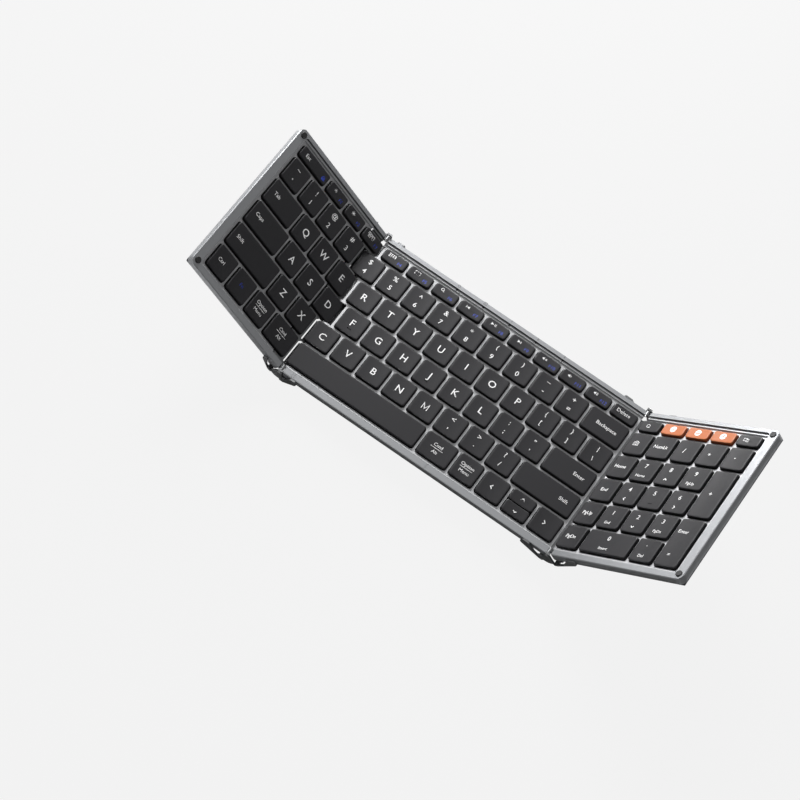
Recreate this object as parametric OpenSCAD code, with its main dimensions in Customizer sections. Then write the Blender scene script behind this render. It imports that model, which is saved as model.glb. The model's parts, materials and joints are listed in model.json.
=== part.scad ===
// Tri-fold keyboard: three hinged panels of scissor keys in thin metal rims.
// Millimetres. The middle panel lies level on the floor; both side panels are
// modelled flat and then raised about their hinge lines to the stored pose.

/* [Keys] */
// key pitch along a row
pitch = 19.0; // [18:0.05:19.5]
// key pitch from row to row
row_pitch = 19.18; // [18:0.01:19.6]
// depth of the function row
fn_depth = 10.5; // [9:0.1:13]
// width of the bars between keys
web = 1.4; // [1:0.05:2.5]
// clearance from bar to keycap
cap_gap = 0.45; // [0.3:0.05:0.8]
// keycap height above the deck
cap_rise = 2.1; // [1.5:0.05:3]
// full key travel
travel = 1.9; // [1.5:0.05:2.2]
// depth of the shallow dish in a cap
dish = 0.22; // [0.05:0.01:0.4]
// plan corner radius of a cap
cap_r = 1.5; // [0.5:0.1:3]

/* [Panels] */
// raised angle of the left panel
left_angle = 36.75; // [0:0.25:178]
// raised angle of the right panel
right_angle = 44.0; // [0:0.25:178]
// deck top above the floor
deck_z = 7.9; // [7:0.1:9]
// rim top above the deck
rim_rise = 2.1; // [1:0.1:3]
// hinge axis above the deck
axis_rise = 2.45; // [2.2:0.05:3]
// underside of the panels above the floor
base_z = 1.0; // [0.6:0.1:1.6]
// rim overhang beyond the keys at the left and right ends
side_rim = 7.9; // [5:0.1:10]
// rim overhang beyond the keys at the front
front_rim = 6.2; // [4:0.1:8]
// rim overhang beyond the keys at the rear
rear_rim = 5.7; // [4:0.1:8]
// plan corner radius of a panel
corner_r = 4.6; // [3:0.1:8]
// sheet thickness of frames and covers
wall = 1.2; // [0.8:0.1:1.6]

/* [Hinges] */
// hinge pin radius
pin_r = 0.75; // [0.5:0.05:1]
// hinge barrel radius
barrel_r = 1.25; // [1:0.05:1.6]
// running clearance of the pins
pin_play = 0.05; // [0.02:0.01:0.1]
// width of the hinge strip under each panel end
strip_w = 15; // [12:0.5:18]
// thickness of the hinge end plates
plate_t = 1.2; // [0.8:0.1:2]

/* [Feet] */
// radius of a foot
foot_r = 4.0; // [3:0.1:5]
// distance of a foot from the panel edges
foot_in = 9.5; // [8:0.5:16]

/* [Hidden] */
$fn = 48;
axL = 4.384 * pitch;
axR = 14.61 * pitch;
az = deck_z + axis_rise;
rim_z = deck_z + rim_rise;
cap_z = deck_z + cap_rise;
grid_y = 5 * row_pitch + fn_depth;
yf = -front_rim;
yr = grid_y + rear_rim;
xl = -side_rim;
xr = 19.5 * pitch + side_rim;
split_z = 4.6;
// the origin lies under the middle of the stored pose
org_x = (axL + (xl + 5.6 - axL) * cos(left_angle) + (base_z + 5.6 - az) * sin(left_angle)
    + axR + (xr - 5.6 - axR) * cos(right_angle) - (base_z + 5.6 - az) * sin(right_angle)) / 2;
org_y = (yf + yr) / 2;
// small shift of the keys of each row, function row first
stag = [0.43, -0.5, 0.4, -0.1, -0.1, 0.06];

// row r: 0 is the function row at the rear, 5 the bottom row at the front
function row_lo(r) = r == 0 ? 5 * row_pitch : (5 - r) * row_pitch;
function row_hi(r) = r == 0 ? grid_y : (6 - r) * row_pitch;

// left and right ends of the caps of each row, in key pitches
left_rows = [[0, 1.5, 2.5, 3.5, 4.5], [0, 1, 2, 3, 4], [0, 1.5, 2.5, 3.5, 4.5],
    [0, 1.75, 2.75, 3.75, 4.75], [0, 2.25, 3.25, 4.25], [0, 1, 2, 3, 4.25]];
center_rows = [[for (i = [0 : 10]) 4.5 + i], concat([for (i = [0 : 9]) 4 + i], [14.5]),
    [for (i = [0 : 10]) 4.5 + i], concat([for (i = [0 : 8]) 4.75 + i], [14.5]),
    concat([for (i = [0 : 8]) 4.25 + i], [14.5]), [4.25, 9.25, 10.5, 11.5, 12.5, 13.5, 14.5]];
right_row = [14.5, 15.5, 16.5, 17.5, 18.5, 19.5];

// shifted position of a key boundary; panel ends and seam ends stay put
function bx(x, r, p) = x * pitch + ((p == 2 || x == 0) ? 0 : x == 14.5 ? 0.5 : stag[r]);

module place(p) {
    if (p == 0)
        translate([axL - org_x, -org_y, az]) rotate([0, left_angle, 0]) translate([-axL, 0, -az]) children();
    else if (p == 2)
        translate([axR - org_x, -org_y, az]) rotate([0, -right_angle, 0]) translate([-axR, 0, -az]) children();
    else
        translate([-org_x, -org_y, 0]) children();
}

module box(x0, x1, y0, y1, z0, z1) {
    translate([x0, y0, z0]) cube([x1 - x0, y1 - y0, z1 - z0]);
}

// rounded rectangle made of squares and circles
module round_rect(x0, x1, y0, y1, r) {
    translate([x0 + r, y0]) square([x1 - x0 - 2 * r, y1 - y0]);
    translate([x0, y0 + r]) square([x1 - x0, y1 - y0 - 2 * r]);
    for (x = [x0 + r, x1 - r]) for (y = [y0 + r, y1 - r]) translate([x, y]) circle(r);
}

// region outside a rounded corner; the material lies towards sx, sy
module corner_cut(x, y, sx, sy, r) {
    difference() {
        translate([min(x - sx, x + sx * r), min(y - sy, y + sy * r)]) square(r + 1);
        translate([x + sx * r, y + sy * r]) circle(r);
    }
}

// side profile: upright walls on top, quarter rounds below, small top chamfer
// e0, e1: round that end
module shell_profile(a0, a1, r, e0, e1, inset) {
    b0 = a0 + (e0 ? inset : 0);
    b1 = a1 - (e1 ? inset : 0);
    zb = base_z + inset;
    k0 = e0 && inset == 0 ? 0.45 : 0;
    k1 = e1 && inset == 0 ? 0.45 : 0;
    difference() {
        polygon(concat([[b0, zb], [b0, rim_z - k0]], k0 > 0 ? [[b0 + k0, rim_z]] : [],
            k1 > 0 ? [[b1 - k1, rim_z]] : [], [[b1, rim_z - k1], [b1, zb]]));
        if (e0) corner_cut(b0, zb, 1, 1, r - inset);
        if (e1) corner_cut(b1, zb, -1, 1, r - inset);
    }
}

// outer body of a panel from x0 to x1, rounded at its free ends
module body(x0, x1, e0, e1, inset) {
    intersection() {
        translate([0, yr + 1, 0]) rotate([90, 0, 0]) linear_extrude(yr - yf + 2)
            shell_profile(x0, x1, 5.6, e0, e1, inset);
        translate([x0 - 1, 0, 0]) rotate([90, 0, 90]) linear_extrude(x1 - x0 + 2)
            shell_profile(yf, yr, 6.0, true, true, inset);
        if (e0 || e1) linear_extrude(20) difference() {
            translate([x0 - 1, yf - 1]) square([x1 - x0 + 2, yr - yf + 2]);
            for (t = [[yf + inset, 1], [yr - inset, -1]]) {
                if (e0) corner_cut(x0 + inset, t[0], 1, t[1], corner_r - inset);
                if (e1) corner_cut(x1 - inset, t[0], -1, t[1], corner_r - inset);
            }
        }
    }
}

// end positions of a panel: outer end and the rim end next to the hinge line
function px0(p) = p == 0 ? xl : p == 1 ? axL + 1.4 : axR + 2.2;
function px1(p) = p == 0 ? axL - 2.2 : p == 1 ? axR - 1.4 : xr;

// opening of a rim, plan view
module rim_opening(p) {
    x0 = p == 0 ? -1.9 : px0(p) - 3;
    x1 = p == 2 ? 19.5 * pitch + 1.9 : px1(p) + 3;
    difference() {
        translate([x0, -2]) square([x1 - x0, grid_y + 4.7]);
        for (t = [[-2, 1], [grid_y + 2.7, -1]]) {
            if (p == 0) corner_cut(x0, t[0], 1, t[1], 2.6);
            if (p == 2) corner_cut(x1, t[0], -1, t[1], 2.6);
        }
    }
}

module frame(p) {
    difference() {
        intersection() {
            body(px0(p), px1(p), p == 0, p == 2, 0);
            box(xl - 5, xr + 5, yf - 5, yr + 5, split_z + 0.15, 20);
        }
        // room under the top plate
        intersection() {
            body(px0(p) - (p == 0 ? 0 : 5), px1(p) + (p == 2 ? 0 : 5), p == 0, p == 2, wall);
            box(xl, xr, yf, yr, 0, rim_z - 1.3);
        }
        translate([0, 0, 3]) linear_extrude(12) rim_opening(p);
        if (p == 0) bumper_seats(0);
        if (p == 2) bumper_seats(2);
        if (p == 1) {
            // two fine grooves across the front rim next to the left hinge
            for (x = [axL + 7.1, axL + 8.6]) box(x, x + 0.5, yf - 1, -1.5, rim_z - 0.35, rim_z + 1);
            // thumb notch in the front rim
            box(9.92 * pitch - 0.5, 9.92 * pitch + 0.5, yf - 1, -1.5, rim_z - 0.35, rim_z + 1);
            // charging port
            port_hole();
        }
    }
}

module port_hole() {
    translate([6.1 * pitch, yr + 1, 5.4]) rotate([90, 0, 0]) linear_extrude(4) port_outline(4.62, 1.78);
}

module port_outline(hw, hh) {
    translate([-hw + hh, -hh]) square([2 * (hw - hh), 2 * hh]);
    for (s = [-1, 1]) translate([s * (hw - hh), 0]) circle(hh);
}

function bump_x(p) = p == 0 ? -4.1 : 19.5 * pitch + 4.1;

module bumper_seats(p) {
    for (y = [-2.1, grid_y + 1.7]) translate([bump_x(p), y, rim_z - 0.9]) cylinder(h = 5, r = 2.15);
}

module bumpers(p) {
    color([0.05, 0.05, 0.055])
    place(p) for (y = [-2.1, grid_y + 1.7]) translate([bump_x(p), y, rim_z - 0.88]) {
        cylinder(h = 1.3, r = 2.1);
        translate([0, 0, 1.3]) cylinder(h = 0.22, r1 = 2.1, r2 = 1.85);
    }
}

// plan windows of the keys of one row
module window(a, b, r, p, g, rad) {
    round_rect(bx(a, r, p) + web / 2 + g, bx(b, r, p) - web / 2 - g,
        row_lo(r) + web / 2 + g, row_hi(r) - web / 2 - g, rad);
}

module windows(p) {
    rows = p == 0 ? left_rows : center_rows;
    if (p < 2) for (r = [0 : 5]) for (i = [0 : len(rows[r]) - 2]) window(rows[r][i], rows[r][i + 1], r, p, 0, 1.9);
    if (p == 2) {
        for (r = [0, 1]) for (i = [0 : 4]) window(right_row[i], right_row[i + 1], r, 2, 0, 1.9);
        for (r = [2 : 4]) for (i = [0 : 3]) window(right_row[i], right_row[i + 1], r, 2, 0, 1.9);
        window(14.5, 15.5, 5, 2, 0, 1.9);
        window(15.5, 17.5, 5, 2, 0, 1.9);
        window(17.5, 18.5, 5, 2, 0, 1.9);
        for (r = [3, 5]) round_rect(18.5 * pitch + web / 2, 19.5 * pitch - web / 2,
            row_lo(r) + web / 2, row_hi(r - 1) - web / 2, 1.9);
    }
}

// plan outline of a deck between two x positions
module deck_plan(x0, x1, d0, d1) {
    translate([x0, -d0]) square([x1 - x0, grid_y + d0 + d1]);
}

// the keys of a neighbour that reach over the seam need room here
module seam_cuts(p) {
    if (p == 0) {
        translate([4 * pitch - 0.5 + web / 2, row_lo(1) + web / 2]) square([30, row_pitch - web]);
        for (r = [0, 2]) translate([3.9 * pitch, row_lo(r) + web / 2]) square([30, row_hi(r) - row_lo(r) - web]);
        translate([4.1 * pitch, row_lo(3) + web / 2]) square([30, row_pitch - web]);
        for (r = [4, 5]) translate([4.25 * pitch + 0.7, row_lo(r) + web / 2]) square([30, row_pitch - web]);
    }
    if (p == 1) {
        for (r = [0, 2]) translate([4 * pitch, row_lo(r) + web / 2])
            square([0.5 * pitch + stag[r] - web / 2, row_hi(r) - row_lo(r) - web]);
        translate([4 * pitch, row_lo(3) + web / 2]) square([0.75 * pitch + stag[3] - web / 2, row_pitch - web]);
        for (r = [1, 4, 5]) translate([4 * pitch, row_lo(r) + web / 2]) square([0.7 * pitch, row_pitch - web]);
    }
    if (p == 2) for (r = [0 : 5]) translate([14.4 * pitch, row_lo(r) + web / 2])
        square([0.6 * pitch, row_hi(r) - row_lo(r) - web]);
}

module deck_solid(p, x0, x1, o0, o1) {
    difference() {
        intersection() {
            union() {
                translate([0, 0, deck_z - 0.8]) linear_extrude(0.8) deck_plan(x0 - o0, x1 + o1, 4.4, 4.2);
                // raised border beside the rim groove
                translate([0, 0, deck_z - 0.1]) linear_extrude(1.1) difference() {
                    deck_plan(x0 - (o0 > 0 ? 1.35 : 0), x1 + (o1 > 0 ? 1.35 : 0), 1.35, 2.1);
                    deck_plan(x0 - (o0 > 0 ? 0.6 : 1), x1 + (o1 > 0 ? 0.6 : 1), 0.6, 1.0);
                }
                // outer flange under the rim plate
                translate([0, 0, deck_z - 0.1]) linear_extrude(0.75) difference() {
                    deck_plan(x0 - o0, x1 + o1, 4.4, 4.2);
                    deck_plan(x0 - (o0 > 0 ? 2.6 : 1), x1 + (o1 > 0 ? 2.6 : 1), 2.6, 3.3);
                }
            }
            body(xl, xr, true, true, wall + 0.1);
        }
        translate([0, 0, deck_z - 2]) linear_extrude(4) { windows(p); seam_cuts(p); }
        for (ax = [axL, axR]) {
            box(ax - 6.6, ax + 6.6, yf, -2, deck_z - 2, deck_z + 3);
            box(ax - 6.6, ax + 6.6, grid_y + 2.2, yr, deck_z - 2, deck_z + 3);
        }
        if (p == 1) for (i = [0 : 4]) box(led_x(i) - 0.5, led_x(i) + 0.5, grid_y + 1.3, grid_y + 2.6, deck_z - 1, deck_z + 2);
    }
}

// places of the status lights along the rear
function led_x(i) = (7.227 + 1.0365 * i) * pitch;

module left_deck() { color([0.62, 0.63, 0.65]) place(0) deck_solid(0, 0, 3.81 * pitch - 0.5, 5.6, 0); }
module center_deck() { color([0.62, 0.63, 0.65]) place(1) deck_solid(1, axL + 0.6, 14.5 * pitch + 1.2, 0, 0); }
module right_deck() { color([0.62, 0.63, 0.65]) place(2) deck_solid(2, axR + 0.3, 19.5 * pitch, 0, 5.6); }

module bottom_cover(p) {
    x0 = p == 0 ? xl : (p == 1 ? axL : axR) + strip_w + 0.2;
    x1 = p == 2 ? xr : (p == 0 ? axL : axR) - strip_w - 0.2;
    color([0.22, 0.24, 0.27]) place(p) difference() {
        intersection() {
            body(x0, x1, p == 0, p == 2, 0);
            box(xl - 5, xr + 5, yf - 5, yr + 5, 0, split_z - 0.15);
        }
        intersection() {
            body(x0, x1, p == 0, p == 2, wall);
            box(xl - 5, xr + 5, yf - 5, yr + 5, 0, 20);
        }
        foot_seats(p);
        if (p == 1) port_hole();
    }
}

// feet: round pads at the outer corners of the side panels and at all corners of the middle one
function feet_at(p) = [for (x = p == 0 ? [xl + foot_in] : p == 1 ? [axL + 25, axR - 25] : [xr - foot_in])
    for (y = [yf + foot_in, yr - foot_in]) [x, y]];

module foot_seats(p) {
    for (f = feet_at(p)) translate([f[0], f[1], base_z - 1]) cylinder(h = 1.5, r = foot_r + 0.05);
}

module feet(p) {
    color([0.07, 0.07, 0.075]) place(p) for (f = feet_at(p)) translate([f[0], f[1], 0])
        difference() {
            union() {
                cylinder(h = 0.3, r1 = foot_r - 0.3, r2 = foot_r);
                translate([0, 0, 0.3]) cylinder(h = base_z + 0.18, r = foot_r);
            }
            // ring groove around the centre pad
            translate([0, 0, -1]) difference() { cylinder(h = 1.5, r = 2.9); cylinder(h = 1.5, r = 2.4); }
        }
}

// plate under the keys, with fingers that carry the keys over the seam
module plate_plan(p) {
    difference() {
        union() {
            if (p == 0) {
                translate([-4, -1.9]) square([axL - 3.5 + 4, grid_y + 3.1]);
                translate([axL - 4, row_lo(3) + 2]) square([8.6, row_pitch - 4]);
                for (r = [0, 2]) translate([axL - 4, row_lo(r) + 2]) square([4.6, row_hi(r) - row_lo(r) - 4]);
            }
            if (p == 1) {
                translate([axL + 2.3, -1.9]) square([axR - axL - 4.6, grid_y + 3.1]);
                translate([axL - 4.6, row_lo(1) + 2]) square([8, row_pitch - 4]);
            }
            if (p == 2) translate([axR + 2, -1.9]) square([19.5 * pitch + 4 - axR - 2, grid_y + 3.1]);
        }
        if (p == 0) translate([axL - 9, row_lo(1) + 0.5]) square([30, row_pitch - 1]);
        if (p == 1) {
            translate([axL, row_lo(3) + 0.5]) square([6.6, row_pitch - 1]);
            translate([6.1 * pitch - 5, grid_y - 0.5]) square([10, 5]);
        }
    }
}

module switch_plate(p) {
    color([0.45, 0.46, 0.48]) place(p) translate([0, 0, 3.9]) linear_extrude(0.5) plate_plan(p);
}

module dome_sheet(p) {
    color([0.75, 0.76, 0.76]) place(p) {
        translate([0, 0, 4.42]) linear_extrude(0.28) plate_plan(p);
        translate([0, 0, 4.6]) dome_row(p);
    }
}

module dome_at(x, y) { translate([x, y, 0]) cylinder(h = 2.3, r1 = 2.6, r2 = 1.5); }

module dome_row(p) {
    rows = p == 0 ? left_rows : center_rows;
    if (p < 2) for (r = [0 : 5]) for (i = [0 : len(rows[r]) - 2])
        if (!(p == 1 && r == 5 && i == 4))
            dome_at(p == 0 && r == 3 && i == 3 ? 4.2 * pitch : p == 0 && i == 3 && (r == 0 || r == 2) ? 3.95 * pitch
                : p == 1 && r == 1 && i == 0 ? 4.5 * pitch : (rows[r][i] + rows[r][i + 1]) / 2 * pitch,
                (row_lo(r) + row_hi(r)) / 2);
    if (p == 1) for (y = [0.26, 0.74]) dome_at(13 * pitch, y * row_pitch);
    if (p == 2) {
        for (r = [0, 1]) for (i = [0 : 4]) dome_at((right_row[i] + 0.5) * pitch + (i == 0 ? 0.8 : 0), (row_lo(r) + row_hi(r)) / 2);
        for (r = [2 : 4]) for (i = [0 : 3]) dome_at((right_row[i] + 0.5) * pitch + (i == 0 ? 0.8 : 0), (row_lo(r) + row_hi(r)) / 2);
        dome_at(15.04 * pitch, row_pitch / 2);
        dome_at(16.5 * pitch, row_pitch / 2);
        dome_at(18 * pitch, row_pitch / 2);
        for (y = [1, 3]) dome_at(19 * pitch, y * row_pitch);
    }
}

// one keycap over a plan box; hollow below, chamfered and dished above
module cap(x0, x1, y0, y1) {
    zb = deck_z - 0.5;
    c = 0.35;
    w = x1 - x0;
    d = y1 - y0;
    difference() {
        intersection() {
            translate([0, 0, zb]) linear_extrude(cap_z - zb) round_rect(x0, x1, y0, y1, cap_r);
            translate([0, y1 + 1, 0]) rotate([90, 0, 0]) linear_extrude(d + 2)
                polygon([[x0, zb - 1], [x0, deck_z + 0.3], [x0 + 0.12, cap_z - c], [x0 + 0.12 + c, cap_z],
                    [x1 - 0.12 - c, cap_z], [x1 - 0.12, cap_z - c], [x1, deck_z + 0.3], [x1, zb - 1]]);
            translate([x0 - 1, 0, 0]) rotate([90, 0, 90]) linear_extrude(w + 2)
                polygon([[y0, zb - 1], [y0, deck_z + 0.3], [y0 + 0.12, cap_z - c], [y0 + 0.12 + c, cap_z],
                    [y1 - 0.12 - c, cap_z], [y1 - 0.12, cap_z - c], [y1, deck_z + 0.3], [y1, zb - 1]]);
        }
        // cylindrical dish across the narrow caps; the wide ones are flat
        if (w < 24) translate([(x0 + x1) / 2, y1 + 1, cap_z]) rotate([90, 0, 0]) linear_extrude(d + 2)
            translate([0, (w - 2.5) * (w - 2.5) / 8 / dish - dish]) circle((w - 2.5) * (w - 2.5) / 8 / dish, $fn = 240);
        translate([0, 0, zb - 1]) linear_extrude(cap_z - 1.0 - zb + 1) round_rect(x0 + 0.9, x1 - 0.9, y0 + 0.9, y1 - 0.9, 0.8);
    }
}

// keys i0 to i1 of one row of a panel
module keys(p, r, i0, i1) {
    rows = p == 0 ? left_rows[r] : p == 1 ? center_rows[r] : right_row;
    for (i = [i0 : i1]) cap(
        (p == 2 && i == 0) ? 14.6 * pitch : bx(rows[i], r, p) + web / 2 + cap_gap,
        bx(rows[i + 1], r, p) - web / 2 - cap_gap,
        row_lo(r) + web / 2 + cap_gap, row_hi(r) - web / 2 - cap_gap);
}

module dark() { color([0.13, 0.13, 0.14]) children(); }

module half_key(k) {
    g = web / 2 + cap_gap;
    m = row_pitch / 2;
    dark() place(1) cap(bx(12.5, 5, 1) + g, bx(13.5, 5, 1) - g, k == 0 ? g : m + 0.2, k == 0 ? m - 0.2 : row_pitch - g);
}

module pad_cap(x0, x1, y0, y1) {
    g = web / 2 + cap_gap;
    dark() place(2) cap(x0 * pitch + g, x1 * pitch - g, y0 * row_pitch + g, y1 * row_pitch - g);
}

// outline of a hinge end plate: slanted arm with a raised far end
// s is measured from the hinge line into the panel
module arm_plan(f, h0, lo, top) {
    difference() {
        polygon([[0.7, base_z], [3.6, base_z], [f - 0.4, lo], [f + 0.5, lo + 1.2], [f, top - 0.9], [f - 0.8, top],
            [h0 + 1.4, top - 0.2], [h0, top - 2.0], [h0 * 0.72, top - 5.2], [3.7, 2.15], [0.7, 2.15]]);
        corner_cut(0.7, base_z, 1, 1, 1.1);
    }
}

// channel section of the strip: sheet, rounded edge and end wall
module strip_section(s0) {
    difference() {
        translate([s0, base_z]) square([strip_w - s0, 4.2]);
        translate([s0 + 1, base_z + 1]) square([strip_w, 6]);
        corner_cut(s0, base_z, 1, 1, 2.2);
    }
    intersection() {
        translate([s0 + 0.9, base_z + 0.9]) square(1.3);
        corner_cut(s0 + 1, base_z + 1, 1, 1, 1.2);
    }
}

// strip under a panel end with arms at the front and rear; s = 1 runs towards +x
module bracket(ax, s, f, h0, center) {
    s0 = center ? 1.0 : 0.7;
    for (e = [0, 1]) {
        y0 = e == 0 ? yf - plate_t - 0.1 : yr + 0.1;
        translate([ax, y0 + plate_t, 0]) rotate([90, 0, 0]) linear_extrude(plate_t) difference() {
            mirror([s < 0 ? 1 : 0, 0]) {
                arm_plan(f, h0, center ? 5.3 : 4.8, rim_z - (center ? 0.3 : 1.6));
                if (center) { fan_plan(); arm_root(); }
            }
            if (center) translate([0, az]) circle(pin_r);
        }
    }
    difference() {
        union() {
            intersection() {
                translate([ax, yr - 1.35, 0]) rotate([90, 0, 0]) linear_extrude(yr - yf - 2.7)
                    mirror([s < 0 ? 1 : 0, 0]) strip_section(s0);
                body(ax - 20, ax + 20, false, false, 0);
            }
            // lugs between the strip and the end plates
            for (y = [yf - 0.15, yr - 4.85]) translate([ax, y + 5, 0]) rotate([90, 0, 0]) linear_extrude(5)
                mirror([s < 0 ? 1 : 0, 0]) difference() {
                    translate([s0, base_z]) square([3.4, 1.15]);
                    corner_cut(s0, base_z, 1, 1, 1.1);
                }
            // posts that carry the barrels of the side panels
            if (!center) { bearing(ax, s, yf + 1.55, 2.5); bearing(ax, s, yr - 3.4, 1.85); }
            if (center) for (e = [0, 1]) translate([ax, (e == 0 ? yf - 0.15 : yr - 1.4) + 1.55, az]) rotate([90, 0, 0])
                difference() {
                    cylinder(h = 1.55, r = barrel_r);
                    translate([0, 0, -1]) cylinder(h = 4, r = pin_r);
                }
            // bars of the left panel between the parting line and the hinge line
            if (!center && s < 0) {
                deck_solid(0, 3.81 * pitch + 0.5, axL - 0.6, 0, 0);
                for (k = [1 : 5]) box(ax - 1.7, ax - 0.7, k * row_pitch - 0.7, k * row_pitch + 0.7, base_z + 1.5, deck_z - 0.1);
                box(ax - 1.7, ax - 0.7, -1.3, 0.6, base_z + 1.5, deck_z - 0.1);
                box(ax - 1.7, ax - 0.7, grid_y - 0.6, grid_y + 1.9, base_z + 1.5, deck_z - 0.1);
            }
        }
        // openings of the end wall for the keys that reach over the left hinge line
        if (ax == axL && !center) {
            for (r = [0, 2, 3]) box(ax - 2, ax, row_lo(r) + 0.9, row_hi(r) - 0.9, 3.6, 7);
            box(ax - 2, ax, row_lo(1) + 0.9, row_hi(1) - 0.9, base_z + 1, 7);
        }
        if (ax == axL && center) {
            box(ax, ax + 2.1, row_lo(3) + 0.6, row_hi(3) - 0.6, base_z + 1, 7);
            box(ax, ax + 2.1, row_lo(1) + 0.9, row_hi(1) - 0.9, 3.6, 7);
        }
        // four narrow slots beside the rounded edge
        for (t = [[5.5, 14], [29, 47], [71.3, 89.3], [104.3, 112.8]])
            box(ax + s * 4 - 0.45, ax + s * 4 + 0.45, yf + t[0], yf + t[1], 0, base_z + 1.2);
    }
}

module arm_root() {
    polygon([[1.0, 2.0], [3.7, 2.0], [5.2, 3.6], [2.6, 4.4], [1.0, 4.4]]);
}

// fan that closes the gap under the hinge line when a panel is raised
module fan_plan() {
    intersection() {
        translate([0, az]) circle(8.0);
        polygon([[barrel_r + 0.4, az + 3], [barrel_r + 0.4, az], [2.4, 3.0], [2.4, 0], [-8, 0], [-8.6, az - 7.2],
            [-barrel_r - 0.4, az], [-barrel_r - 0.4, az + 3]]);
        translate([-9, 0]) square([18, az + barrel_r + 0.35]);
    }
}

module bearing(ax, s, y, t) {
    translate([ax, y + t, 0]) rotate([90, 0, 0]) linear_extrude(t) difference() {
        union() {
            translate([0, az]) circle(barrel_r);
            mirror([s < 0 ? 1 : 0, 0]) polygon([[-0.2, az - 1.2], [1.8, 5.0], [2.4, base_z + 0.6], [6.2, base_z + 0.6], [6.2, rim_z - 1.45],
                [2.05, rim_z - 1.45], [1.24, az], [0.5, az]]);
        }
        translate([0, az]) circle(pin_r + pin_play);
    }
}

module left_hinge_bracket() { color([0.5, 0.51, 0.53]) place(0) bracket(axL, -1, 12.4, 9.2, false); }
module right_hinge_bracket() { color([0.5, 0.51, 0.53]) place(2) bracket(axR, 1, 20.5, 12.6, false); }
module center_hinge_brackets() {
    color([0.5, 0.51, 0.53]) place(1) {
        bracket(axL, 1, 11.8, 6.2, true);
        bracket(axR, -1, 17.8, 11.2, true);
    }
}

module hinge_pins() {
    color([0.8, 0.8, 0.82]) place(1) for (ax = [axL, axR]) for (e = [0, 1])
        translate([ax, e == 0 ? yf + 4.2 : yr + plate_t + 0.25, az]) rotate([90, 0, 0]) {
            cylinder(h = 4.2 + plate_t + 0.25, r = pin_r);
            translate([0, 0, e == 0 ? 4.2 + plate_t + 0.15 : -0.23]) cylinder(h = 0.33, r = 1.1);
        }
}

module battery() {
    color([0.6, 0.62, 0.66]) place(1) translate([0, 0, base_z + wall + 0.05])
        linear_extrude(1.55) round_rect(axL + 60, axL + 128, 28, 84, 1.5);
}

module main_board() {
    color([0.1, 0.35, 0.2]) place(1) difference() {
        box(axL + 18, axL + 54, grid_y - 24, grid_y - 0.6, base_z + wall + 0.05, base_z + wall + 0.85);
        foot_bores();
    }
}

module foot_bores() {
    for (f = feet_at(1)) translate([f[0], f[1], 0]) cylinder(h = 6, r = foot_r + 1);
}

module usb_c_port() {
    color([0.7, 0.7, 0.72]) place(1) translate([6.1 * pitch, yr - 0.3, 5.4]) rotate([90, 0, 0]) difference() {
        linear_extrude(5.6) port_outline(4.47, 1.63);
        translate([0, 0, -1]) linear_extrude(5.8) port_outline(4.17, 1.33);
    }
    color([0.1, 0.1, 0.1]) place(1) box(6.1 * pitch - 3.3, 6.1 * pitch + 3.3, yr - 5.6, yr - 1.2, 5.05, 5.75);
}

module status_light_guides() {
    color([0.05, 0.05, 0.05]) place(1) for (i = [0 : 4])
        box(led_x(i) - 0.45, led_x(i) + 0.45, grid_y + 1.35, grid_y + 2.55, deck_z - 0.7, deck_z + 0.95);
}

module left_frame() { color([0.52, 0.54, 0.56]) place(0) frame(0); }
module center_rails() { color([0.52, 0.54, 0.56]) place(1) frame(1); }
module right_frame() { color([0.52, 0.54, 0.56]) place(2) frame(2); }

left_frame();
left_deck();
bottom_cover(0);  // left_bottom_cover
switch_plate(0);  // left_switch_plate
dome_sheet(0);  // left_dome_sheet
left_hinge_bracket();
bumpers(0);  // left_bumpers
feet(0);  // left_feet
center_rails();
center_deck();
bottom_cover(1);  // center_bottom_cover
switch_plate(1);  // center_switch_plate
dome_sheet(1);  // center_dome_sheet
center_hinge_brackets();
hinge_pins();
feet(1);  // center_feet
battery();
main_board();
usb_c_port();
status_light_guides();
right_frame();
right_deck();
bottom_cover(2);  // right_bottom_cover
switch_plate(2);  // right_switch_plate
dome_sheet(2);  // right_dome_sheet
right_hinge_bracket();
bumpers(2);  // right_bumpers
feet(2);  // right_feet
dark() place(0) keys(0, 0, 0, 3);  // left_function_keys
dark() place(0) keys(0, 1, 0, 3);  // left_number_keys
dark() place(0) keys(0, 2, 0, 0);  // tab_key
dark() place(0) keys(0, 2, 1, 3);  // q_row_left_keys
dark() place(0) keys(0, 3, 0, 0);  // caps_key
dark() place(0) keys(0, 3, 1, 3);  // a_row_left_keys
dark() place(0) keys(0, 4, 0, 0);  // left_shift_key
dark() place(0) keys(0, 4, 1, 2);  // z_row_left_keys
dark() place(0) keys(0, 5, 0, 3);  // left_bottom_keys
dark() place(1) keys(1, 0, 0, 9);  // center_function_keys
dark() place(1) keys(1, 1, 0, 8);  // center_number_keys
dark() place(1) keys(1, 1, 9, 9);  // backspace_key
dark() place(1) keys(1, 2, 0, 9);  // q_row_center_keys
dark() place(1) keys(1, 3, 0, 7);  // a_row_center_keys
dark() place(1) keys(1, 3, 8, 8);  // enter_key
dark() place(1) keys(1, 4, 0, 7);  // z_row_center_keys
dark() place(1) keys(1, 4, 8, 8);  // right_shift_key
dark() place(1) keys(1, 5, 0, 0);  // space_key
dark() place(1) { keys(1, 5, 1, 3); keys(1, 5, 5, 5); }  // center_bottom_keys
half_key(1);  // up_key
half_key(0);  // down_key
color([0.85, 0.45, 0.2]) place(2) keys(2, 0, 1, 3);  // device_keys
dark() place(2) { keys(2, 0, 0, 0); keys(2, 0, 4, 4); }  // pad_function_keys
dark() place(2) keys(2, 1, 0, 4);  // pad_top_keys
dark() place(2) keys(2, 2, 0, 3);  // pad_7_row_keys
dark() place(2) keys(2, 3, 0, 3);  // pad_4_row_keys
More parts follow.
